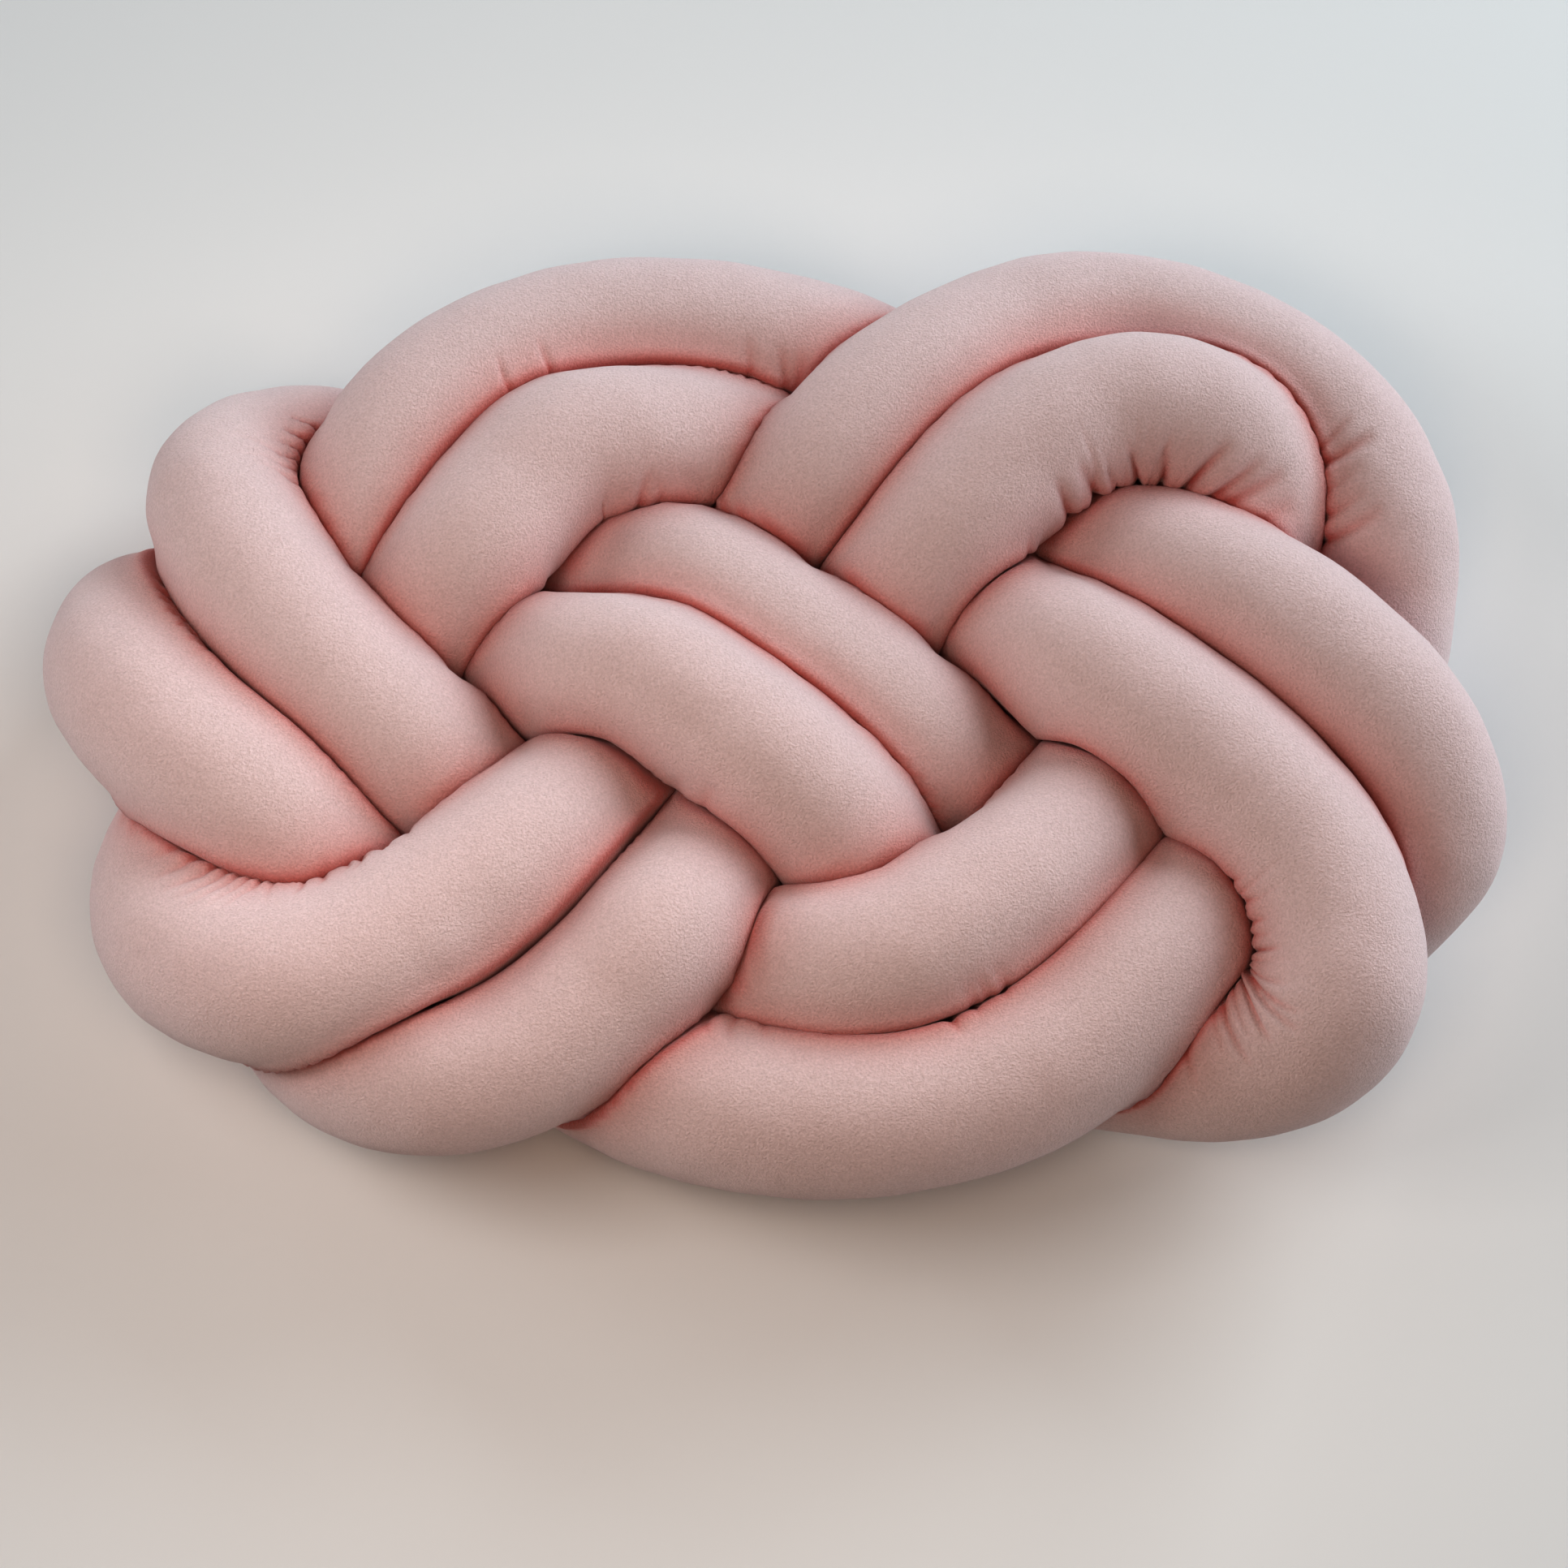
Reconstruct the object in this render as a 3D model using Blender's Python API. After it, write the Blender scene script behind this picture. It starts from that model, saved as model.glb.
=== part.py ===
"""Knot cushion: one long stuffed velvet tube, laid double and woven into a flat knot of seven
crossings. Its two ends meet out of sight, so it is one closed tube and one solid.

It lies on its back on z = 0. Tables and sizes are in millimetres, the model is in metres, +Z up.
"""

import math

import bpy
import numpy as np
from mathutils import Vector
from mathutils.geometry import interpolate_bezier

MM = 0.001

# The tube's skin
RINGS = 400
SIDES = 14
FINE = 24  # route points between two marks
NEIGHBOUR_STEP = 3.0  # how close together a run's neighbours are felt
SKIN_GAP = 0.5  # a run keeps half of this from the plane where it meets its neighbour
PRESS = 10.0  # how sharply the round side turns into a pressed one
LEAN = 0.15  # share of its radius by which a run bulges to meet a neighbour that is this near
BEND_ROOM = 7.0  # route points nearer than this are the same bit of tube
LEAST_REACH = 1.0
SOFTENING = 8  # rounds that blend the radii of two runs
TINY = 1e-3  # below this, a direction doesn't face a neighbour or the floor

# The photo's view, which the route is traced in: a square picture, seen from one point, slanted
# off straight down towards -Y, and aimed at a point over the floor.
PHOTO_SIDE = 1932  # pixels
PHOTO_SPAN = 644.0  # what the picture spans, across and up, at the aim point
EYE_DISTANCE = 1160.0
EYE_SLANT = math.radians(22.0)
AIM_HEIGHT = 60.0
MIDDLE = (-7.3, 36.5)  # the cushion's middle on the floor, seen from the aim point's foot

# The route, in order along the tube. Each run has a name, the tube's radius there, and points as
# (right, down, height): the pixel where the tube's axis is seen, and how high it really lies.
ROUTE = (
    ("centre diagonal, upper strand", 31.5,
     ((788, 722, 58), (850, 720, 74), (945, 772, 80), (1040, 838, 76), (1130, 910, 68))),
    ("under the bottom arc", 31.0,
     ((1218, 985, 40), (1290, 1085, 27), (1400, 1165, 27), (1510, 1200, 28), (1620, 1170, 32))),
    ("right diagonal, outer strand", 32.5,
     ((1700, 1100, 44), (1755, 1020, 64), (1722, 905, 82), (1634, 813, 85), (1545, 748, 83),
      (1455, 712, 76), (1375, 685, 58))),
    ("under the top-right arc", 31.0,
     ((1290, 622, 29), (1190, 535, 27))),
    ("top-left arc, outer strand", 32.0,
     ((1068, 462, 42), (975, 430, 57), (850, 410, 65), (717, 416, 70), (600, 455, 76),
      (500, 535, 80), (455, 625, 72))),
    ("under the left loop", 31.0,
     ((425, 710, 56), (365, 830, 34), (300, 940, 28), (240, 1025, 36))),
    ("bottom-left loop, upper strand", 34.5,
     ((217, 1100, 56), (245, 1170, 74), (330, 1206, 86), (425, 1194, 90), (548, 1128, 90),
      (663, 1041, 86), (740, 984, 64))),
    ("under the centre diagonal", 31.0,
     ((800, 915, 32), (860, 830, 27), (915, 740, 34))),
    ("top-right arc, outer strand", 32.0,
     ((958, 650, 58), (1022, 573, 80), (1106, 489, 82), (1250, 415, 68), (1390, 404, 60),
      (1530, 450, 62), (1640, 530, 62), (1697, 640, 56), (1700, 745, 40))),
    ("under the right diagonal", 31.0,
     ((1680, 850, 28), (1630, 950, 28), (1560, 1045, 38))),
    ("bottom arc, lower strand", 33.0,
     ((1488, 1118, 62), (1421, 1190, 76), (1310, 1290, 76), (1185, 1348, 73), (1050, 1372, 71),
      (900, 1362, 66), (775, 1325, 48))),
    ("under the bottom-left strands", 31.0,
     ((670, 1270, 28), (560, 1200, 27), (465, 1120, 40))),
    ("left loop, outer strand", 35.5,
     ((400, 1052, 64), (327, 992, 85), (228, 912, 88), (166, 842, 78), (172, 788, 54))),
    ("under the top-left arc, lower way", 31.0,
     ((215, 765, 30), (300, 740, 24), (390, 715, 22), (480, 725, 22), (570, 775, 26))),
    ("centre diagonal, lower strand", 31.0,
     ((655, 828, 52), (720, 822, 84), (800, 835, 96), (890, 890, 98), (970, 950, 96),
      (1035, 1015, 82), (1080, 1090, 50))),
    ("under the bottom arc, lower way", 31.0,
     ((1130, 1170, 28), (1220, 1250, 27), (1318, 1288, 30))),
    ("right diagonal, inner strand", 33.0,
     ((1408, 1298, 41), (1500, 1303, 57), (1590, 1285, 72), (1645, 1225, 86), (1645, 1140, 90),
      (1600, 1045, 91), (1510, 950, 90), (1410, 872, 90), (1320, 815, 81))),
    ("under the top-right arc, inner way", 31.0,
     ((1225, 768, 50), (1140, 695, 28), (1040, 625, 27))),
    ("top-left arc, inner strand", 31.0,
     ((950, 572, 42), (870, 550, 68), (780, 542, 84), (700, 555, 90), (640, 605, 90),
      (585, 672, 88), (535, 745, 70))),
    ("under the left loop, inner way", 31.0,
     ((490, 830, 42), (430, 930, 26), (370, 1040, 24), (345, 1140, 24), (375, 1240, 34))),
    ("bottom-left loop, lower strand", 31.0,
     ((440, 1305, 56), (530, 1326, 71), (640, 1302, 78), (745, 1227, 85), (822, 1146, 90),
      (870, 1070, 62))),
    ("under the centre diagonal, lower way", 31.0,
     ((930, 985, 30), (1000, 890, 27), (1050, 810, 34))),
    ("top-right arc, inner strand", 32.0,
     ((1100, 735, 62), (1170, 645, 84), (1260, 560, 92), (1345, 512, 92), (1425, 505, 90),
      (1500, 538, 82), (1540, 605, 66), (1542, 680, 44))),
    ("under the right diagonal, inner way", 31.0,
     ((1525, 765, 28), (1485, 850, 27), (1425, 920, 32))),
    ("bottom arc, upper strand", 32.0,
     ((1365, 975, 56), (1290, 1058, 82), (1208, 1120, 90), (1110, 1175, 89), (997, 1195, 75),
      (915, 1190, 44))),
    ("under the bottom-left strands, upper way", 31.0,
     ((816, 1164, 30), (740, 1110, 27), (655, 1045, 28))),
    ("left loop, inner strand", 32.0,
     ((580, 982, 54), (515, 920, 80), (425, 840, 90), (350, 757, 94), (300, 680, 92),
      (277, 620, 82), (303, 582, 64), (363, 566, 42))),
    ("under the top-left arc, upper way", 31.0,
     ((450, 575, 28), (560, 620, 26), (680, 690, 32))),
)


def laid_down(right, down, height):
    """The point at this height that is seen at this pixel, from the cushion's middle."""
    across = (right / PHOTO_SIDE - 0.5) * PHOTO_SPAN
    up = (0.5 - down / PHOTO_SIDE) * PHOTO_SPAN
    look = Vector((0.0, math.sin(EYE_SLANT), -math.cos(EYE_SLANT)))
    overhead = Vector((0.0, math.cos(EYE_SLANT), math.sin(EYE_SLANT)))
    eye = Vector((0.0, 0.0, AIM_HEIGHT)) - EYE_DISTANCE * look
    ray = EYE_DISTANCE * look + across * Vector((1.0, 0.0, 0.0)) + up * overhead
    point = eye + ray * ((height - eye.z) / ray.z)
    return point - Vector((MIDDLE[0], MIDDLE[1], 0.0))


def smooth_route():
    """The closed axis and its radius, as many fine points on one smooth curve."""
    marks = [laid_down(*point) for _, _, points in ROUTE for point in points]
    radii = [radius for _, radius, points in ROUTE for _ in points]
    count = len(marks)
    heading = [(marks[(i + 1) % count] - marks[i - 1]).normalized() for i in range(count)]
    axis, girth = [], []
    for i, here in enumerate(marks):
        there = marks[(i + 1) % count]
        arm = (there - here).length / 3.0
        piece = interpolate_bezier(here, here + heading[i] * arm,
                                   there - heading[(i + 1) % count] * arm, there, FINE + 1)
        axis += piece[:-1]
        share = np.arange(FINE) / FINE
        girth += list(radii[i] + (radii[(i + 1) % count] - radii[i]) * share)
    return np.array(axis), np.array(girth)


def even_steps(axis, girth, count):
    """The same closed route in equal steps."""
    steps = np.linalg.norm(np.roll(axis, -1, 0) - axis, axis=1)
    along = np.concatenate([[0.0], np.cumsum(steps)])
    wanted = np.arange(count) * along[-1] / count
    columns = np.column_stack([axis, girth])
    columns = np.vstack([columns, columns[:1]])
    even = np.stack([np.interp(wanted, along, column) for column in columns.T], axis=1)
    return even[:, :3], even[:, 3], along[-1]


def softened(values, rounds):
    """A closed run of values with its corners taken off."""
    for _ in range(rounds):
        values = (np.roll(values, 1, 0) + 2.0 * values + np.roll(values, -1, 0)) / 4.0
    return values


def section_frames(axis):
    """Each section's sideways and upward directions, square to the route."""
    heading = np.roll(axis, -1, 0) - np.roll(axis, 1, 0)
    heading /= np.linalg.norm(heading, axis=1, keepdims=True)
    sideways = np.cross(heading, (0.0, 0.0, 1.0))
    sideways /= np.linalg.norm(sideways, axis=1, keepdims=True)
    return sideways, np.cross(sideways, heading)


def pressed_reach(centres, directions, radii, others):
    """How far the skin stands from each centre along each direction. It stops halfway to any
    other point of the route, so two runs share one flat crease, and it stops at the floor. Where
    a neighbour is almost in reach, the skin bulges to meet it."""
    away = others[None] - centres[:, None]
    square = (away ** 2).sum(axis=2)
    facing = np.einsum("nkc,nmc->nkm", directions, away)
    square = np.where(square < BEND_ROOM ** 2, np.inf, square)
    halfway = square[:, None] / (2.0 * np.maximum(facing, TINY))
    halfway = np.maximum(halfway.min(axis=2) - SKIN_GAP / 2.0, LEAST_REACH)
    plain = radii[:, None]
    free = plain * (1.0 + LEAN * np.exp(-((halfway / plain - 1.0) / LEAN) ** 2))
    reach = free * (1.0 + (free / halfway) ** PRESS) ** (-1.0 / PRESS)
    down = -directions[..., 2]
    floor = np.where(down > TINY, centres[:, None, 2] / np.maximum(down, TINY), np.inf)
    return np.minimum(reach, floor)


def tube_skin(rings, sides):
    """Points of the tube's skin, ring by ring, in millimetres."""
    fine_axis, fine_girth = smooth_route()
    axis, radii, length = even_steps(fine_axis, fine_girth, rings)
    others, _, _ = even_steps(fine_axis, fine_girth, int(length / NEIGHBOUR_STEP))
    sideways, upward = section_frames(axis)
    turn = np.arange(sides) * 2.0 * math.pi / sides
    directions = (np.cos(turn)[None, :, None] * sideways[:, None]
                  + np.sin(turn)[None, :, None] * upward[:, None])
    reach = pressed_reach(axis, directions, softened(radii, SOFTENING), others)
    return axis[:, None] + directions * reach[..., None]


def closed_tube(name, skin):
    """A mesh object from the skin's rings, the last ring joined to the first. Its faces are
    built one by one, because each section has its own pressed shape."""
    rings, sides = skin.shape[:2]
    faces = []
    for ring in range(rings):
        ahead = (ring + 1) % rings
        for side in range(sides):
            beside = (side + 1) % sides
            faces.append((ring * sides + side, ahead * sides + side,
                          ahead * sides + beside, ring * sides + beside))
    mesh = bpy.data.meshes.new(name)
    mesh.from_pydata((skin.reshape(-1, 3) * MM).tolist(), [], faces)
    mesh.update()
    mesh.shade_smooth()
    return bpy.data.objects.new(name, mesh)


def velvet():
    """Dusty pink cotton velvet."""
    material = bpy.data.materials.new("dusty_pink_velvet")
    material.use_nodes = True
    shader = material.node_tree.nodes["Principled BSDF"]
    shader.inputs["Base Color"].default_value = (0.72, 0.50, 0.48, 1.0)
    shader.inputs["Roughness"].default_value = 0.95
    shader.inputs["Metallic"].default_value = 0.0
    return material


def main():
    for thing in list(bpy.data.objects):
        bpy.data.objects.remove(thing, do_unlink=True)
    cushion = bpy.data.collections.new("knot_cushion")
    bpy.context.scene.collection.children.link(cushion)
    tube = closed_tube("knotted_tube", tube_skin(RINGS, SIDES))
    tube.data.materials.append(velvet())
    cushion.objects.link(tube)


main()
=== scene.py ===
"""Looks of the knot cushion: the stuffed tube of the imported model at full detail, with its
gathered bends, in dusty pink velvet, on a pale floor under soft window light.

Tables and sizes are in millimetres unless they say otherwise. The scene is in metres, +Z up.
"""

import math
import random

import bpy
import numpy as np
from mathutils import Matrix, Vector, noise
from mathutils.geometry import interpolate_bezier


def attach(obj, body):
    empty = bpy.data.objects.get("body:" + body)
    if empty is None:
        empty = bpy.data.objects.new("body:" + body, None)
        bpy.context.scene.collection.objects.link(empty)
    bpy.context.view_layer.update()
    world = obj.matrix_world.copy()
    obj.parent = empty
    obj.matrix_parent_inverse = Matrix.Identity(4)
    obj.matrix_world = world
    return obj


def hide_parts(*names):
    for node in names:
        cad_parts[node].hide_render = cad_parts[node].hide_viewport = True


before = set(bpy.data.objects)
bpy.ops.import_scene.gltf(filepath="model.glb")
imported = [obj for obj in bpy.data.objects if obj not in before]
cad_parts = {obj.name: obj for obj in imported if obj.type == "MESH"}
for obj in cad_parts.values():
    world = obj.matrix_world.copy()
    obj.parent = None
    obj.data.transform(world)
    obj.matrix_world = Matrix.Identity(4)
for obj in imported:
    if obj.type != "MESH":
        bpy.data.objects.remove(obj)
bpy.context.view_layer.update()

MM = 0.001
FULL_TURN = 2.0 * math.pi
TINY = 0.001  # no divisor gets smaller than this

# The tube's skin, made of rings of points
RINGS = 1500
SIDES = 66
FINE = 24  # fine points of the route from one traced point to the next
TOP_SHARE = 0.4  # how much closer together a ring's points are on top, and further apart below
HIDDEN_WEIGHT = 0.35  # rings per millimetre under other runs, against 1 where the tube shows
CREASED_WEIGHT = 3.6  # and where it is creased
CREASED_MARGIN = 2.0  # how far beside a crease the tube counts as creased, in the crease's widths
WEIGHT_ROUNDS = 12  # how many times the rings' weights are softened
GIRTH_ROUNDS = 200  # and the tube's radius
HEADING_REACH = 5.0  # how far to each side the route is read for its heading

# How the runs press on each other
SKIN_GAP = 0.3  # a run keeps half of this from the plane where it meets its neighbour
PRESS = 40.0  # how sharply the round side turns into a pressed one
LEAN = 0.15  # share of its radius by which a run bulges to meet a neighbour that is this near
ROUTE_STEP = 4.0  # distance between the points of the route that a run presses on
BEND_ROOM = 7.0  # route points nearer than this are the same bit of tube
BEND_REACH = 80.0  # route points nearer than this along the tube belong to one bend
BEND_SHARE = 0.93  # of the way to the bend's centre that the skin may take
LEAST_REACH = 1.0  # how near to its axis the skin may come
CHUNK = 100  # rings that are worked out together

# Soft unevenness of the filling
LUMP_HEIGHT, LUMP_LENGTH = 1.1, 60.0
DIMPLE_HEIGHT, DIMPLE_LENGTH = 0.5, 17.0
DIMPLE_SHIFT = (7.0, 3.0, 1.0)  # in dimple lengths, so that dimples don't follow the lumps

# The form of a crease
VALLEY_ROUND = 0.15  # how round the bottom of a crease is
LOBE, LOBE_WIDTH = 0.7, 3.0  # how high and wide the cloth stands up on each side of a crease
CREASE_SPAN = 8.0  # how far beside a crease the skin still moves, in the crease's widths
BELOW = math.radians(60.0)  # a crease also fades out this far below the edge where it starts
LEAST_CLIMB = math.radians(12.0)  # the least that a crease runs round the tube

# How the fine wrinkles differ from each other
WRINKLE_SEED = 41
PLACE_SPREAD = 0.35  # to each side, as a share of the even distance between two
LOW_SPREAD_DEG = 10.0  # to each side
HIGH_SHARE = (0.5, 1.15)  # of the height that the table gives
DRIFT_SPREAD = 8.0  # to each side, along the tube
DEPTH_SHARE = (0.4, 1.3)  # of the depth in the table
WIDTH_SHARE = (0.7, 1.3)  # of the width in the table
BEND_VIEW = 40.0  # how far to each side the route is read to tell its inside from its outside

# Velvet: pale pink on open skin, with painted shade that is a deeper rose the less room there is to
# the neighbour
PALE_PINK = (0.78, 0.61, 0.605, 1.0)
# the rose and the deep rose are painted shade, for the creases and the lines where runs touch
PAINTED_SHADE_ROSE = (0.74, 0.38, 0.36, 1.0)
PAINTED_DEEP_SHADE = (0.58, 0.14, 0.12, 1.0)
PAINTED_SHADE_ROSE_AT = 0.6  # where the painted shade's rose lies on the way from pale pink at 0 to the deepest painted shade at 1
SHADE_LINE_REACH = 3.0  # the room over which the thin line of painted shade at a neighbour fades
SHADE_BAND_REACH = 14.0  # and the wide band of painted rose shade beside it
SHADE_LINE_SHARE = 0.55  # how much of the painted shade is the thin line's; the band has the rest
FOLD_SHADE = 6.0  # depth of a gather whose valley gets as much painted shade as a crease
VELVET_ROUGHNESS, VELVET_SPECULAR = 0.9, 0.15
SHEEN, SHEEN_ROUGHNESS = 0.42, 0.4
SHEEN_TINT = (1.0, 0.93, 0.93, 1.0)
NAP_NOISE = {"Scale": 1000.0, "Detail": 3.0, "Roughness": 0.65, "Distortion": 0.2}
NAP_DARK = (0.3, (0.78, 0.75, 0.74, 1.0))  # value of the noise, and what it does to the colour
NAP_LIGHT = (0.7, (1.0, 1.0, 1.0, 1.0))
NAP_BUMP = {"Strength": 1.0, "Distance": 0.0009}  # the distance in metres
MIX_COLOURS, MIX_RESULT = (6, 7), 2  # the Mix node's sockets for colours

# The floor, and what is round it, in metres
FLOOR_RADIUS, FLOOR_CORNERS = 2.5, 96
FLOOR_COLOUR = (0.80, 0.79, 0.78, 1.0)
FLOOR_ROUGHNESS, FLOOR_SPECULAR = 0.95, 0.1
WALL_COLOUR, WALL_STRENGTH = (0.80, 0.79, 0.78, 1.0), 0.42
GLOW_COLOUR, GLOW_STRENGTH = (1.0, 0.62, 0.45, 1.0), 0.035

# Low, cool window light from behind and from both sides, and two small warm lights over the front
LIGHTS = (
    # name, (x, y, z) in metres, side in metres, watts, colour
    ("window", (1.98, 1.98, 1.20), 1.8, 57.0, (0.83, 0.94, 1.0)),
    ("right_window", (2.99, 0.44, 0.95), 1.8, 33.0, (0.81, 0.93, 1.0)),
    ("back_window", (0.0, 3.0, 0.90), 1.8, 7.0, (0.81, 0.93, 1.0)),
    ("left_window", (-2.95, 0.76, 0.95), 1.8, 28.0, (0.87, 0.95, 1.0)),
    ("room", (0.0, -0.40, 0.75), 0.3, 1.1, (1.0, 0.78, 0.62)),
    ("lamp", (-0.35, -0.15, 0.60), 0.3, 0.9, (1.0, 0.94, 0.90)),
)

# The photo's view, which the route is traced in: a square picture, seen from one point, slanted
# off straight down towards -Y, and aimed at a point over the floor.
PHOTO_SIDE = 1932  # pixels
PHOTO_SPAN = 644.0  # what the picture spans, across and up, at the aim point
EYE_DISTANCE = 1160.0
EYE_SLANT = math.radians(22.0)
AIM_HEIGHT = 60.0
MIDDLE = (-7.3, 36.5)  # the cushion's middle on the floor, seen from the aim point's foot
SENSOR = 36.0
EXPOSURE, CONTRAST_GAMMA = 0.66, 0.80  # they bring out the photo's strong contrast

# The route, in order along the tube. Each run has a name, the tube's radius there, and points as
# (right, down, height): the pixel where the tube's axis is seen, and how high it really lies.
ROUTE = (
    ("centre diagonal, upper strand", 31.5,
     ((788, 722, 58), (850, 720, 74), (945, 772, 80), (1040, 838, 76), (1130, 910, 68))),
    ("under the bottom arc", 31.0,
     ((1218, 985, 40), (1290, 1085, 27), (1400, 1165, 27), (1510, 1200, 28), (1620, 1170, 32))),
    ("right diagonal, outer strand", 32.5,
     ((1700, 1100, 44), (1755, 1020, 64), (1722, 905, 82), (1634, 813, 85), (1545, 748, 83),
      (1455, 712, 76), (1375, 685, 58))),
    ("under the top-right arc", 31.0,
     ((1290, 622, 29), (1190, 535, 27))),
    ("top-left arc, outer strand", 32.0,
     ((1068, 462, 42), (975, 430, 57), (850, 410, 65), (717, 416, 70), (600, 455, 76),
      (500, 535, 80), (455, 625, 72))),
    ("under the left loop", 31.0,
     ((425, 710, 56), (365, 830, 34), (300, 940, 28), (240, 1025, 36))),
    ("bottom-left loop, upper strand", 34.5,
     ((217, 1100, 56), (245, 1170, 74), (330, 1206, 86), (425, 1194, 90), (548, 1128, 90),
      (663, 1041, 86), (740, 984, 64))),
    ("under the centre diagonal", 31.0,
     ((800, 915, 32), (860, 830, 27), (915, 740, 34))),
    ("top-right arc, outer strand", 32.0,
     ((958, 650, 58), (1022, 573, 80), (1106, 489, 82), (1250, 415, 68), (1390, 404, 60),
      (1530, 450, 62), (1640, 530, 62), (1697, 640, 56), (1700, 745, 40))),
    ("under the right diagonal", 31.0,
     ((1680, 850, 28), (1630, 950, 28), (1560, 1045, 38))),
    ("bottom arc, lower strand", 33.0,
     ((1488, 1118, 62), (1421, 1190, 76), (1310, 1290, 76), (1185, 1348, 73), (1050, 1372, 71),
      (900, 1362, 66), (775, 1325, 48))),
    ("under the bottom-left strands", 31.0,
     ((670, 1270, 28), (560, 1200, 27), (465, 1120, 40))),
    ("left loop, outer strand", 35.5,
     ((400, 1052, 64), (327, 992, 85), (228, 912, 88), (166, 842, 78), (172, 788, 54))),
    ("under the top-left arc, lower way", 31.0,
     ((215, 765, 30), (300, 740, 24), (390, 715, 22), (480, 725, 22), (570, 775, 26))),
    ("centre diagonal, lower strand", 31.0,
     ((655, 828, 52), (720, 822, 84), (800, 835, 96), (890, 890, 98), (970, 950, 96),
      (1035, 1015, 82), (1080, 1090, 50))),
    ("under the bottom arc, lower way", 31.0,
     ((1130, 1170, 28), (1220, 1250, 27), (1318, 1288, 30))),
    ("right diagonal, inner strand", 33.0,
     ((1408, 1298, 41), (1500, 1303, 57), (1590, 1285, 72), (1645, 1225, 86), (1645, 1140, 90),
      (1600, 1045, 91), (1510, 950, 90), (1410, 872, 90), (1320, 815, 81))),
    ("under the top-right arc, inner way", 31.0,
     ((1225, 768, 50), (1140, 695, 28), (1040, 625, 27))),
    ("top-left arc, inner strand", 31.0,
     ((950, 572, 42), (870, 550, 68), (780, 542, 84), (700, 555, 90), (640, 605, 90),
      (585, 672, 88), (535, 745, 70))),
    ("under the left loop, inner way", 31.0,
     ((490, 830, 42), (430, 930, 26), (370, 1040, 24), (345, 1140, 24), (375, 1240, 34))),
    ("bottom-left loop, lower strand", 31.0,
     ((440, 1305, 56), (530, 1326, 71), (640, 1302, 78), (745, 1227, 85), (822, 1146, 90),
      (870, 1070, 62))),
    ("under the centre diagonal, lower way", 31.0,
     ((930, 985, 30), (1000, 890, 27), (1050, 810, 34))),
    ("top-right arc, inner strand", 32.0,
     ((1100, 735, 62), (1170, 645, 84), (1260, 560, 92), (1345, 512, 92), (1425, 505, 90),
      (1500, 538, 82), (1540, 605, 66), (1542, 680, 44))),
    ("under the right diagonal, inner way", 31.0,
     ((1525, 765, 28), (1485, 850, 27), (1425, 920, 32))),
    ("bottom arc, upper strand", 32.0,
     ((1365, 975, 56), (1290, 1058, 82), (1208, 1120, 90), (1110, 1175, 89), (997, 1195, 75),
      (915, 1190, 44))),
    ("under the bottom-left strands, upper way", 31.0,
     ((816, 1164, 30), (740, 1110, 27), (655, 1045, 28))),
    ("left loop, inner strand", 32.0,
     ((580, 982, 54), (515, 920, 80), (425, 840, 90), (350, 757, 94), (300, 680, 92),
      (277, 620, 82), (303, 582, 64), (363, 566, 42))),
    ("under the top-left arc, upper way", 31.0,
     ((450, 575, 28), (560, 620, 26), (680, 690, 32))),
)

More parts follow.
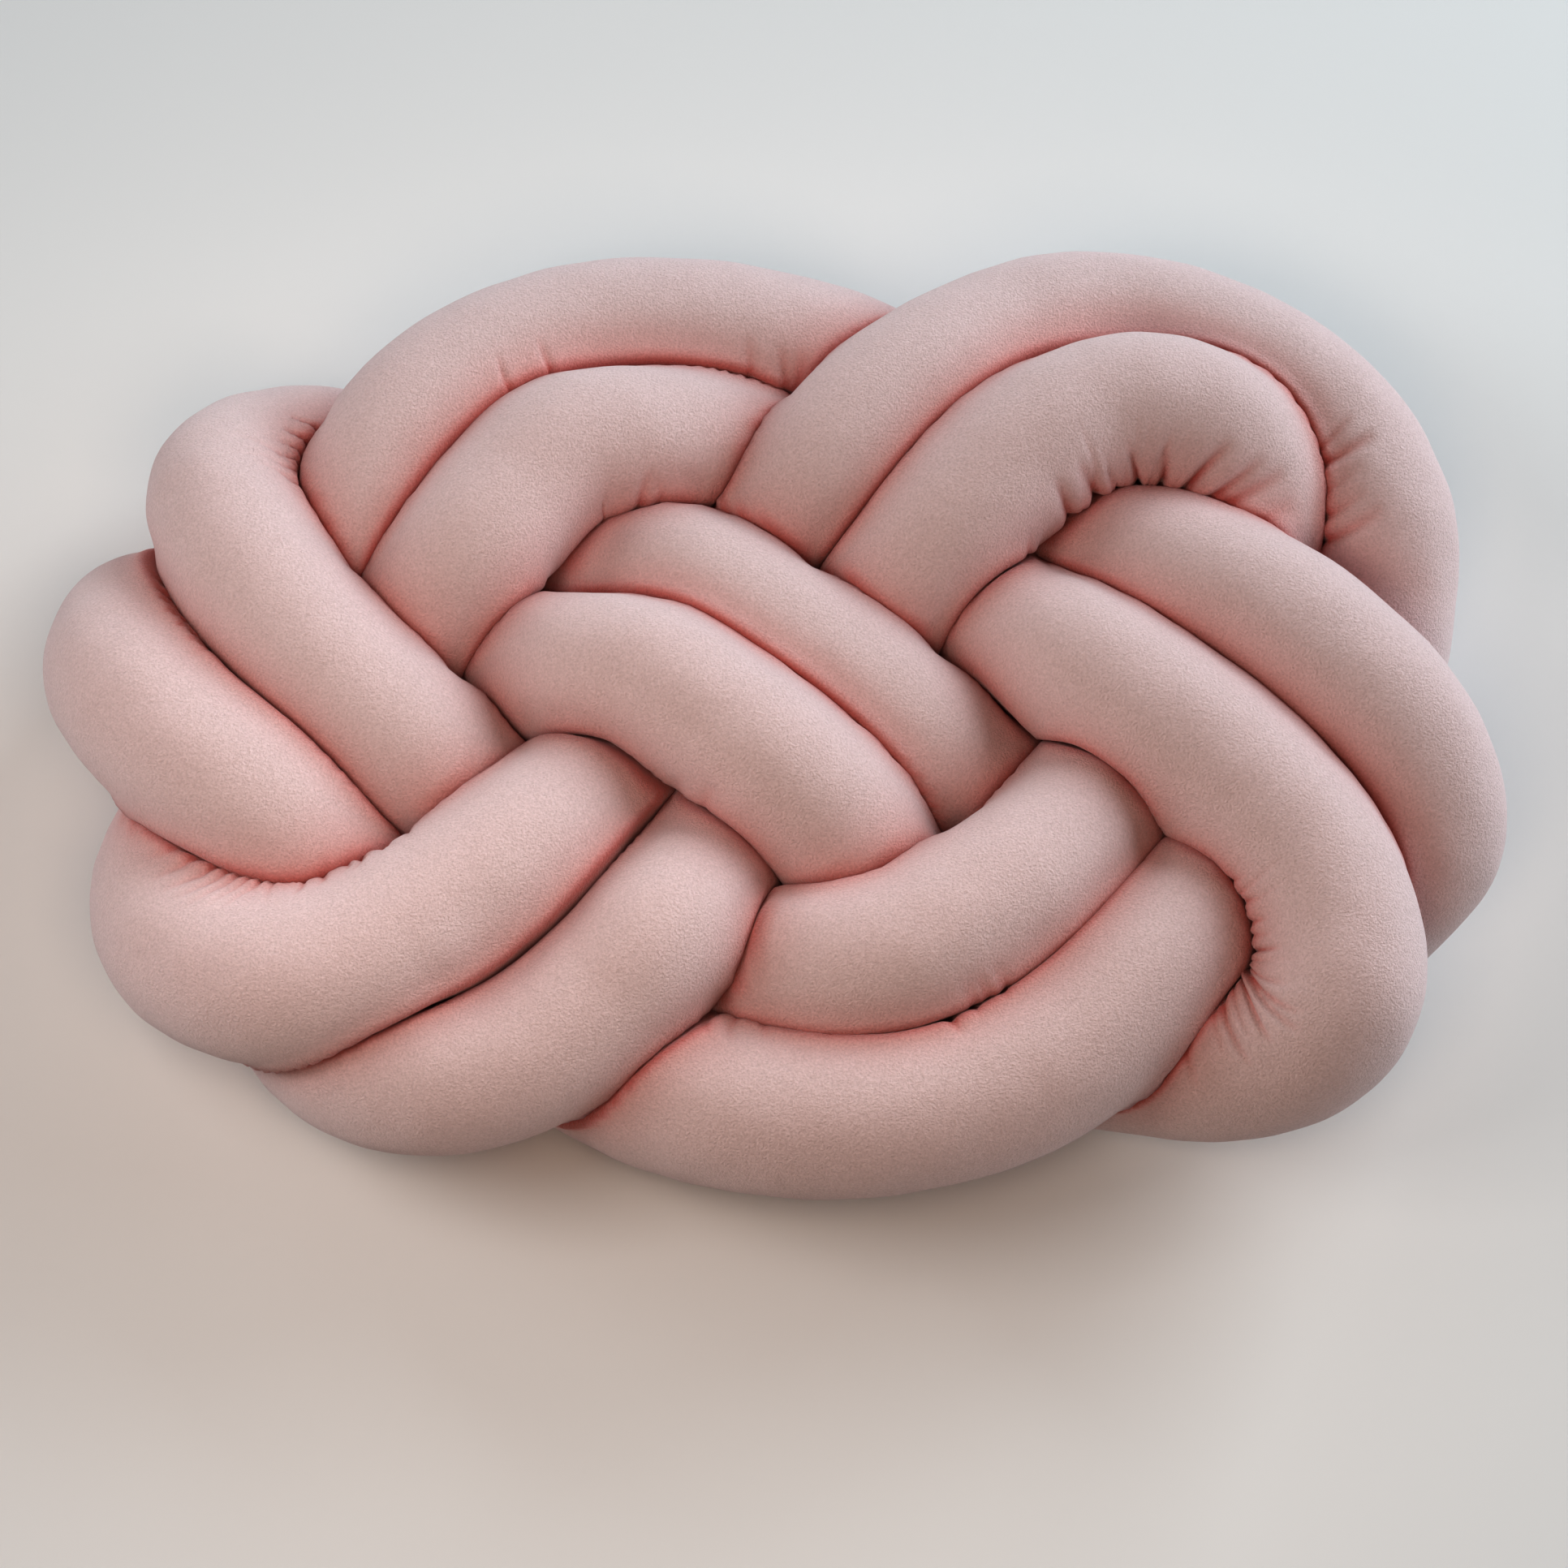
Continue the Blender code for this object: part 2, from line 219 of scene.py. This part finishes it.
# Creases that the photo shows, run by run: the pixel where a crease starts at the run's edge, the
# pixel where it fades out, how deep it is at its start, and how wide.
CREASES = (
    # start right, start down, end right, end down, depth, width
    ("top-right arc, inner strand",
     ((1262, 683, 1270, 660, 1.2, 3.0), (1318, 630, 1301, 588, 3.0, 3.4),
      (1346, 617, 1330, 568, 3.6, 3.8), (1374, 604, 1362, 574, 2.0, 2.6),
      (1402, 597, 1388, 546, 3.6, 3.4), (1431, 594, 1438, 546, 3.4, 3.8),
      (1464, 596, 1519, 545, 3.8, 3.8), (1494, 609, 1560, 562, 3.6, 3.6),
      (1519, 617, 1586, 582, 3.0, 3.4), (1560, 635, 1596, 620, 1.2, 3.2))),
    ("top-right arc, outer strand",
     ((1628, 552, 1668, 512, 2.2, 3.0), (1634, 574, 1696, 534, 3.4, 3.4),
      (1639, 604, 1682, 570, 1.8, 3.0), (1640, 636, 1688, 606, 2.4, 3.4),
      (1638, 666, 1706, 628, 3.2, 3.4))),
    ("right diagonal, inner strand",
     ((1483, 1064, 1500, 1056, 1.0, 2.2), (1507, 1088, 1534, 1078, 2.4, 2.2),
      (1526, 1115, 1554, 1106, 2.6, 2.2), (1536, 1137, 1562, 1132, 1.9, 1.9),
      (1541, 1154, 1566, 1150, 1.7, 1.8), (1547, 1172, 1578, 1170, 2.4, 2.2),
      (1547, 1199, 1588, 1214, 2.6, 2.6), (1549, 1214, 1610, 1250, 3.6, 2.4),
      (1547, 1222, 1606, 1272, 3.0, 2.2), (1538, 1230, 1567, 1288, 3.0, 2.4),
      (1524, 1242, 1545, 1290, 1.2, 1.8), (1509, 1256, 1544, 1314, 2.4, 2.2),
      (1500, 1266, 1510, 1304, 1.2, 1.8), (1467, 1302, 1478, 1342, 1.2, 1.8))),
    ("bottom-left loop, upper strand",
     ((215, 1050, 180, 1056, 1.0, 3.2), (228, 1066, 184, 1084, 1.4, 2.8),
      (250, 1079, 194, 1098, 1.6, 2.6), (262, 1087, 210, 1110, 1.5, 2.4),
      (276, 1092, 222, 1120, 1.4, 2.4), (291, 1095, 250, 1122, 1.2, 2.2),
      (308, 1097, 268, 1124, 1.1, 2.2), (325, 1094, 300, 1120, 0.8, 2.2),
      (340, 1092, 326, 1116, 1.1, 2.4), (371, 1086, 360, 1106, 1.2, 2.6),
      (396, 1078, 388, 1094, 1.1, 2.4), (425, 1064, 417, 1082, 1.0, 2.4),
      (444, 1059, 436, 1074, 1.8, 2.4), (475, 1041, 466, 1054, 1.5, 2.2),
      (505, 1024, 498, 1036, 0.9, 2.0))),
    ("left loop, inner strand",
     ((384, 526, 356, 512, 2.6, 2.4), (375, 546, 346, 524, 2.8, 2.4),
      (369, 560, 340, 540, 2.0, 2.0), (365, 574, 338, 556, 2.6, 2.2),
      (362, 587, 342, 572, 1.5, 1.8), (361, 597, 350, 582, 1.5, 1.8))),
    ("left loop, outer strand",
     ((205, 722, 186, 712, 2.0, 2.6), (214, 744, 190, 728, 2.6, 2.6),
      (222, 759, 192, 742, 2.4, 2.6), (231, 774, 200, 754, 2.6, 2.6),
      (241, 789, 208, 766, 2.4, 2.6), (256, 803, 228, 786, 1.6, 2.4))),
    ("top-left arc, outer strand",
     ((622, 468, 612, 436, 1.2, 1.6), (679, 464, 660, 414, 1.5, 1.7),
      (926, 452, 920, 410, 1.0, 2.6), (968, 472, 962, 424, 2.2, 2.6),
      (984, 476, 986, 426, 2.2, 2.6))),
    ("top-left arc, inner strand",
     ((741, 624, 748, 610, 0.8, 2.6), (790, 608, 798, 576, 1.5, 2.6),
      (812, 606, 808, 580, 0.9, 2.6))),
    ("bottom arc, lower strand",
     ((870, 1265, 880, 1275, 1.0, 2.4), (897, 1270, 905, 1282, 1.0, 2.2),
      (940, 1271, 947, 1282, 0.9, 2.0), (1020, 1275, 1024, 1284, 0.8, 2.2),
      (1172, 1257, 1184, 1274, 1.7, 3.2), (1200, 1240, 1212, 1254, 1.1, 2.4),
      (1232, 1218, 1243, 1234, 1.1, 2.4))),
    ("bottom arc, upper strand",
     ((1200, 1234, 1186, 1204, 1.0, 1.8), (1219, 1225, 1204, 1196, 1.1, 1.6),
      (1239, 1214, 1224, 1188, 1.1, 1.6))),
    ("centre diagonal, lower strand",
     ((836, 966, 846, 952, 0.6, 3.6), (872, 982, 880, 966, 0.6, 3.6))),
)

# Fine wrinkles between them and where the photo can't see, as uneven as by hand. A row gives the
# run, the first and last place in it (counted in its points), how many wrinkles, how deep and wide
# each is, and from where to where it climbs: 0 is level on the inside of the bend, 90 the top.
WRINKLES = (
    # run, first, last, count, depth, width, low_deg, high_deg
    ("top-right arc, inner strand", 2.0, 6.4, 16, 0.8, 1.7, -20, 70),
    ("top-right arc, outer strand", 5.2, 7.9, 12, 0.9, 1.8, -10, 65),
    ("right diagonal, inner strand", 0.6, 5.0, 20, 0.7, 1.5, -10, 60),
    ("bottom-left loop, upper strand", 0.2, 4.2, 14, 0.6, 1.6, -10, 60),
    ("left loop, inner strand", 4.4, 7.2, 12, 0.7, 1.5, -10, 70),
    ("left loop, outer strand", 2.2, 4.4, 10, 0.9, 1.7, -10, 60),
    ("bottom-left loop, lower strand", 0.0, 1.6, 6, 1.0, 2.4, -30, 30),
    ("right diagonal, outer strand", 0.0, 1.6, 6, 1.0, 2.4, -30, 35),
)


def viewer():
    """The viewer's looking and overhead directions, and the eye, from the cushion's middle."""
    look = Vector((0.0, math.sin(EYE_SLANT), -math.cos(EYE_SLANT)))
    overhead = Vector((0.0, math.cos(EYE_SLANT), math.sin(EYE_SLANT)))
    aim = Vector((-MIDDLE[0], -MIDDLE[1], AIM_HEIGHT))
    return look, overhead, aim - EYE_DISTANCE * look


def sight_line(right, down):
    """The viewer's eye, and the direction in which this pixel is seen."""
    across = (right / PHOTO_SIDE - 0.5) * PHOTO_SPAN
    up = (0.5 - down / PHOTO_SIDE) * PHOTO_SPAN
    look, overhead, eye = viewer()
    ray = EYE_DISTANCE * look + across * Vector((1.0, 0.0, 0.0)) + up * overhead
    return eye, ray.normalized()


def laid_down(right, down, height):
    """The point at this height that is seen at this pixel."""
    eye, ray = sight_line(right, down)
    return eye + ray * ((height - eye.z) / ray.z)


def first_marks():
    """Where each run's first point is, counted along the whole route, and how many there are."""
    starts, total = {}, 0
    for name, _, points in ROUTE:
        starts[name] = total
        total += len(points)
    return starts, total


def smooth_route():
    """The closed axis and its radius, as many fine points on one smooth curve."""
    marks = [laid_down(*point) for _, _, points in ROUTE for point in points]
    radii = [radius for _, radius, points in ROUTE for _ in points]
    count = len(marks)
    heading = [(marks[(i + 1) % count] - marks[i - 1]).normalized() for i in range(count)]
    axis, girth = [], []
    for i, here in enumerate(marks):
        there = marks[(i + 1) % count]
        arm = (there - here).length / 3.0
        piece = interpolate_bezier(here, here + heading[i] * arm,
                                   there - heading[(i + 1) % count] * arm, there, FINE + 1)
        axis += piece[:-1]
        share = np.arange(FINE) / FINE
        girth += list(radii[i] + (radii[(i + 1) % count] - radii[i]) * share)
    return np.array(axis), np.array(girth)


def distances_along(axis):
    """How far along the closed route each fine point lies, and the whole length."""
    steps = np.linalg.norm(np.roll(axis, -1, 0) - axis, axis=1)
    along = np.concatenate([[0.0], np.cumsum(steps)])
    return along[:-1], along[-1]


def wrapped(value, whole):
    """The same closed distance or angle, from minus half of the whole to half of it."""
    return np.mod(value + whole / 2.0, whole) - whole / 2.0


def softened(values, rounds):
    """A closed run of values with its corners taken off."""
    for _ in range(rounds):
        values = (np.roll(values, 1, 0) + 2.0 * values + np.roll(values, -1, 0)) / 4.0
    return values


def ring_places(along, length, creases):
    """Where the rings go along the route: close together where the tube is creased, further
    apart where it is hidden."""
    starts, total = first_marks()
    weight = np.ones(total * FINE)
    for name, _, points in ROUTE:
        if name.startswith("under"):
            first = starts[name] * FINE
            weight[first:first + len(points) * FINE] = HIDDEN_WEIGHT
    for place, _, drift, _, _, width in creases:
        off = wrapped(along - place - drift / 2.0, length)
        weight[np.abs(off) < abs(drift) / 2.0 + CREASED_MARGIN * width] = CREASED_WEIGHT
    weight = softened(weight, WEIGHT_ROUNDS)
    steps = np.diff(np.append(along, length)) * weight
    spent = np.concatenate([[0.0], np.cumsum(steps)])
    wanted = np.arange(RINGS) * spent[-1] / RINGS
    return np.interp(wanted, spent, np.append(along, length))


def at_places(values, along, length, places):
    """Closed values, read at these places along the route."""
    places = np.mod(places, length)
    closed = np.vstack([values, values[:1]])
    marks = np.append(along, length)
    return np.stack([np.interp(places, marks, column) for column in closed.T], axis=1)


def section_frames(axis, along, length, places):
    """Each section's centre, its heading, and its sideways and upward directions."""
    centre = at_places(axis, along, length, places)
    heading = (at_places(axis, along, length, places + HEADING_REACH)
               - at_places(axis, along, length, places - HEADING_REACH))
    heading /= np.linalg.norm(heading, axis=1, keepdims=True)
    sideways = np.cross(heading, (0.0, 0.0, 1.0))
    sideways /= np.linalg.norm(sideways, axis=1, keepdims=True)
    return centre, heading, sideways, np.cross(sideways, heading)


def pressed_reach(centres, directions, radii, places, others, other_places, length):
    """How far the skin stands from each centre along each direction, and the room that is left
    there. It stops halfway to any other point of the route, so two runs share one flat crease,
    and it stops at the floor."""
    reach = np.empty(directions.shape[:2])
    room = np.empty(directions.shape[:2])
    for low in range(0, len(centres), CHUNK):
        part = slice(low, low + CHUNK)
        away = others[None] - centres[part, None]
        square = (away ** 2).sum(axis=2)
        square = np.where(square < BEND_ROOM ** 2, np.inf, square)
        apart = np.abs(other_places[None] - places[part, None])
        apart = np.minimum(apart, length - apart)
        square = np.where(apart < BEND_REACH, square * BEND_SHARE, square)
        facing = np.einsum("nkc,nmc->nkm", directions[part], away)
        halfway = (square[:, None] / (2.0 * np.maximum(facing, TINY))).min(axis=2)
        halfway = np.maximum(halfway - SKIN_GAP / 2.0, LEAST_REACH)
        plain = radii[part, None]
        free = plain * (1.0 + LEAN * np.exp(-((halfway / plain - 1.0) / LEAN) ** 2))
        reach[part] = free * (1.0 + (free / halfway) ** PRESS) ** (-1.0 / PRESS)
        room[part] = halfway - reach[part]
    down = -directions[..., 2]
    floor = np.where(down > TINY, centres[:, None, 2] / np.maximum(down, TINY), np.inf)
    return np.minimum(reach, floor), room


def seen_on_tube(places, centre, heading, sideways, upward, radii, pixel):
    """Where on a run this pixel is seen: the place along the route, and the angle round it."""
    eye, ray = (np.array(value) for value in sight_line(*pixel))
    nearest = eye + ((centre - eye) @ ray)[:, None] * ray
    gap = np.linalg.norm(nearest - centre, axis=1)
    sunk = np.sqrt(np.maximum(radii ** 2 - gap ** 2, 0.0))
    out = nearest - sunk[:, None] * ray - centre
    best = (np.abs((out * heading).sum(axis=1)) + np.maximum(gap - radii, 0.0)).argmin()
    return places[best], math.atan2(out[best] @ upward[best], out[best] @ sideways[best])


def traced_creases(axis, girth, along, length):
    """The creases of the photo as (place, angle, drift, climb, depth, width): where each starts,
    and how far it runs along the route and round the tube. A crease starts or ends at most one
    point of the route outside its run."""
    starts, total = first_marks()
    sizes = {name: len(points) for name, _, points in ROUTE}
    rows = []
    for name, lines in CREASES:
        fine = np.arange((starts[name] - 1) * FINE, (starts[name] + sizes[name]) * FINE)
        fine = fine % (total * FINE)
        frames = section_frames(axis, along, length, along[fine])
        for *pixels, depth, width in lines:
            ends = [seen_on_tube(along[fine], *frames, girth[fine], pixel)
                    for pixel in (pixels[:2], pixels[2:])]
            climb = float(wrapped(ends[1][1] - ends[0][1], FULL_TURN))
            climb = math.copysign(max(abs(climb), LEAST_CLIMB), climb)
            drift = float(wrapped(ends[1][0] - ends[0][0], length))
            rows.append((ends[0][0], ends[0][1], drift, climb, depth, width))
    return rows


def fine_wrinkles(axis, along, length):
    """The fine wrinkles, in the same form."""
    starts, total = first_marks()
    draw = random.Random(WRINKLE_SEED)
    rows = []
    for name, first, last, count, depth, width, low_deg, high_deg in WRINKLES:
        for number in range(count):
            share = (number + 0.5 + draw.uniform(-PLACE_SPREAD, PLACE_SPREAD)) / count
            mark = int((starts[name] + first + share * (last - first)) * FINE)
            place = along[mark % (total * FINE)]
            spots = np.array([place - BEND_VIEW, place, place + BEND_VIEW])
            centre, _, sideways, _ = section_frames(axis, along, length, spots)
            bend = (centre[0] + centre[2] - 2.0 * centre[1]) @ sideways[1]
            low = math.radians(low_deg + draw.uniform(-LOW_SPREAD_DEG, LOW_SPREAD_DEG))
            high = math.radians(high_deg * draw.uniform(*HIGH_SHARE))
            if bend < 0.0:
                low, high = math.pi - low, math.pi - high
            drift = draw.uniform(-DRIFT_SPREAD, DRIFT_SPREAD)
            rows.append((place, low, drift, high - low,
                         depth * draw.uniform(*DEPTH_SHARE), width * draw.uniform(*WIDTH_SHARE)))
    return rows


def gathered(places, turn, length, creases):
    """How far the creases move the skin in or out, ring by ring: a sharp valley for each crease,
    and the cloth beside it pushed up round."""
    moved = np.zeros((len(places), len(turn)))
    for place, angle, drift, climb, depth, width in creases:
        off = wrapped(places - place, length)
        near = np.abs(off - drift / 2.0) < abs(drift) / 2.0 + CREASE_SPAN * width
        rings = np.flatnonzero(near)
        share = wrapped(turn - angle, FULL_TURN) / climb
        risen = np.clip(share, 0.0, 1.0)
        sunk = np.clip(-share * abs(climb) / BELOW, 0.0, 1.0)
        window = (1.0 - risen ** 2) * np.cos(sunk * math.pi / 2.0)
        across = (off[rings, None] - drift * risen[None]) / width
        valley = np.exp(VALLEY_ROUND - np.sqrt(across ** 2 + VALLEY_ROUND ** 2))
        lobe = LOBE * across ** 2 / (1.0 + across ** 2) * np.exp(-(across / LOBE_WIDTH) ** 2)
        moved[rings] += depth * window * (lobe - valley)
    return moved


def uneven(points):
    """How far the filling's lumps and dimples move the skin at these points."""
    lumps = np.empty(len(points))
    for i, point in enumerate(points):
        spot = Vector(point)
        dimple = noise.noise(spot / DIMPLE_LENGTH + Vector(DIMPLE_SHIFT))
        lumps[i] = LUMP_HEIGHT * noise.noise(spot / LUMP_LENGTH) + DIMPLE_HEIGHT * dimple
    return lumps


def tube_skin():
    """Points of the tube's skin, ring by ring, in millimetres, and how much painted shade each
    gets.
    """
    axis, girth = smooth_route()
    girth = softened(girth, GIRTH_ROUNDS)
    along, length = distances_along(axis)
    creases = traced_creases(axis, girth, along, length) + fine_wrinkles(axis, along, length)
    places = ring_places(along, length, creases)
    radii = at_places(girth[:, None], along, length, places)[:, 0]
    centre, _, sideways, upward = section_frames(axis, along, length, places)
    other_places = np.arange(int(length / ROUTE_STEP)) * ROUTE_STEP
    others = at_places(axis, along, length, other_places)
    even = np.arange(SIDES) * 2.0 * math.pi / SIDES
    turn = even + TOP_SHARE * np.cos(even)
    directions = (np.cos(turn)[None, :, None] * sideways[:, None]
                  + np.sin(turn)[None, :, None] * upward[:, None])
    reach, room = pressed_reach(centre, directions, radii, places, others, other_places, length)
    skin = centre[:, None] + directions * reach[..., None]
    lumps = uneven(skin.reshape(-1, 3)).reshape(reach.shape)
    folds = gathered(places, turn, length, creases)
    skin = skin + directions * (folds + lumps)[..., None]
    skin[..., 2] = np.maximum(skin[..., 2], 0.0)
    # painted shade: a deeper rose near a neighbour and in the gathers' valleys, where shade falls
    shade = (SHADE_LINE_SHARE * np.exp(-room / SHADE_LINE_REACH)
             + (1.0 - SHADE_LINE_SHARE) * np.exp(-room / SHADE_BAND_REACH)
             + np.maximum(-folds, 0.0) / FOLD_SHADE)
    return skin, np.clip(shade, 0.0, 1.0)


def closed_tube(name, skin, depth):
    """A mesh object from the skin's rings, the last ring joined to the first. Its attribute
    "crease" holds the painted shade of each point."""
    rings, sides = skin.shape[:2]
    here = np.arange(rings * sides).reshape(rings, sides)
    ahead = np.roll(here, -1, 0)
    faces = np.stack([here, ahead, np.roll(ahead, -1, 1), np.roll(here, -1, 1)], axis=-1)
    mesh = bpy.data.meshes.new(name)
    mesh.from_pydata((skin.reshape(-1, 3) * MM).tolist(), [], faces.reshape(-1, 4).tolist())
    mesh.update()
    mesh.shade_smooth()
    # the painted shade, point by point
    crease = mesh.attributes.new("crease", "FLOAT", "POINT")
    crease.data.foreach_set("value", depth.reshape(-1).astype(np.float32))
    tube = bpy.data.objects.new(name, mesh)
    bpy.context.collection.objects.link(tube)
    return tube


def set_inputs(node, values):
    """Sets the node's own sockets."""
    for name, value in values.items():
        node.inputs[name].default_value = value


def new_material(name, values):
    """A material, its nodes and links, and its shader with these values."""
    material = bpy.data.materials.new(name)
    material.use_nodes = True
    tree = material.node_tree
    shader = tree.nodes["Principled BSDF"]
    set_inputs(shader, values)
    return material, tree.nodes, tree.links, shader


def tone_ramp(nodes, first, last, *between):
    """A colour ramp with a tone, as (position, colour), at each end and any between them."""
    ramp = nodes.new("ShaderNodeValToRGB")
    for element, (position, colour) in zip(ramp.color_ramp.elements, (first, last)):
        element.position = position
        element.color = colour
    for position, colour in between:
        ramp.color_ramp.elements.new(position).color = colour
    return ramp


def velvet():
    """Dusty pink cotton velvet: pale, with painted shade that turns it rose in the creases, and a
    soft brushed nap.
    """
    material, nodes, links, shader = new_material("dusty_pink_velvet", {
        "Roughness": VELVET_ROUGHNESS,
        "Specular IOR Level": VELVET_SPECULAR,
        "Sheen Weight": SHEEN,
        "Sheen Roughness": SHEEN_ROUGHNESS,
        "Sheen Tint": SHEEN_TINT,
    })
    # painted shade: the crease attribute picks pale pink, rose or deep rose
    crease = nodes.new("ShaderNodeAttribute")
    crease.attribute_name = "crease"
    depth = tone_ramp(nodes, (0.0, PALE_PINK), (1.0, PAINTED_DEEP_SHADE), (PAINTED_SHADE_ROSE_AT, PAINTED_SHADE_ROSE))
    links.new(crease.outputs["Fac"], depth.inputs["Fac"])

    place = nodes.new("ShaderNodeTexCoord")
    nap = nodes.new("ShaderNodeTexNoise")
    set_inputs(nap, NAP_NOISE)
    tone = tone_ramp(nodes, NAP_DARK, NAP_LIGHT)
    # the base colour: the painted shade times the nap's tone
    shade_and_nap = nodes.new("ShaderNodeMix")
    shade_and_nap.data_type = "RGBA"
    shade_and_nap.blend_type = "MULTIPLY"
    shade_and_nap.inputs["Factor"].default_value = 1.0
    links.new(place.outputs["Object"], nap.inputs["Vector"])
    links.new(nap.outputs["Fac"], tone.inputs["Fac"])
    for source, socket in zip((depth, tone), MIX_COLOURS):
        links.new(source.outputs["Color"], shade_and_nap.inputs[socket])
    links.new(shade_and_nap.outputs[MIX_RESULT], shader.inputs["Base Color"])

    bump = nodes.new("ShaderNodeBump")
    set_inputs(bump, NAP_BUMP)
    links.new(nap.outputs["Fac"], bump.inputs["Height"])
    links.new(bump.outputs["Normal"], shader.inputs["Normal"])
    return material


def add_floor():
    """A round, plain, pale floor."""
    bpy.ops.mesh.primitive_circle_add(vertices=FLOOR_CORNERS, radius=FLOOR_RADIUS, fill_type="NGON")
    floor = bpy.context.object
    floor.name = "floor"
    material, _, _, _ = new_material("pale_floor", {
        "Base Color": FLOOR_COLOUR,
        "Roughness": FLOOR_ROUGHNESS,
        "Specular IOR Level": FLOOR_SPECULAR,
    })
    floor.data.materials.append(material)


def add_lights():
    """The square soft lights, each facing the cushion."""
    for name, place, side, watts, colour in LIGHTS:
        light = bpy.data.lights.new(name, "AREA")
        light.size = side
        light.energy = watts
        light.color = colour
        lamp = bpy.data.objects.new(name, light)
        lamp.location = place
        lamp.rotation_euler = (-Vector(place)).to_track_quat("-Z", "Y").to_euler()
        bpy.context.collection.objects.link(lamp)


def add_surroundings():
    """A faint warm glow from all round, and a pale grey wall where the camera sees past the
    floor."""
    world = bpy.data.worlds.new("room_glow")
    world.use_nodes = True
    nodes, links = world.node_tree.nodes, world.node_tree.links
    glow = nodes["Background"]
    set_inputs(glow, {"Color": GLOW_COLOUR, "Strength": GLOW_STRENGTH})
    wall = nodes.new("ShaderNodeBackground")
    set_inputs(wall, {"Color": WALL_COLOUR, "Strength": WALL_STRENGTH})
    path = nodes.new("ShaderNodeLightPath")
    shown = nodes.new("ShaderNodeMixShader")
    links.new(path.outputs["Is Camera Ray"], shown.inputs["Fac"])
    links.new(glow.outputs["Background"], shown.inputs[1])
    links.new(wall.outputs["Background"], shown.inputs[2])
    links.new(shown.outputs["Shader"], nodes["World Output"].inputs["Surface"])
    bpy.context.scene.world = world


def add_camera():
    """The photo's view: the slanted viewer that the route is traced for."""
    look, _, eye = viewer()
    camera = bpy.data.cameras.new("photo_view")
    camera.sensor_fit = "HORIZONTAL"
    camera.sensor_width = SENSOR
    camera.lens = SENSOR * EYE_DISTANCE / PHOTO_SPAN
    holder = bpy.data.objects.new("photo_view", camera)
    holder.location = eye * MM
    holder.rotation_euler = look.to_track_quat("-Z", "Y").to_euler()
    bpy.context.collection.objects.link(holder)
    bpy.context.scene.camera = holder


def main():
    add_camera()
    tube = closed_tube("velvet_tube", *tube_skin())
    tube.data.materials.append(velvet())
    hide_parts("knotted_tube")
    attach(tube, "root")
    add_floor()
    add_lights()
    add_surroundings()
    view = bpy.context.scene.view_settings
    view.view_transform = "Standard"
    view.exposure = EXPOSURE
    view.gamma = CONTRAST_GAMMA


main()
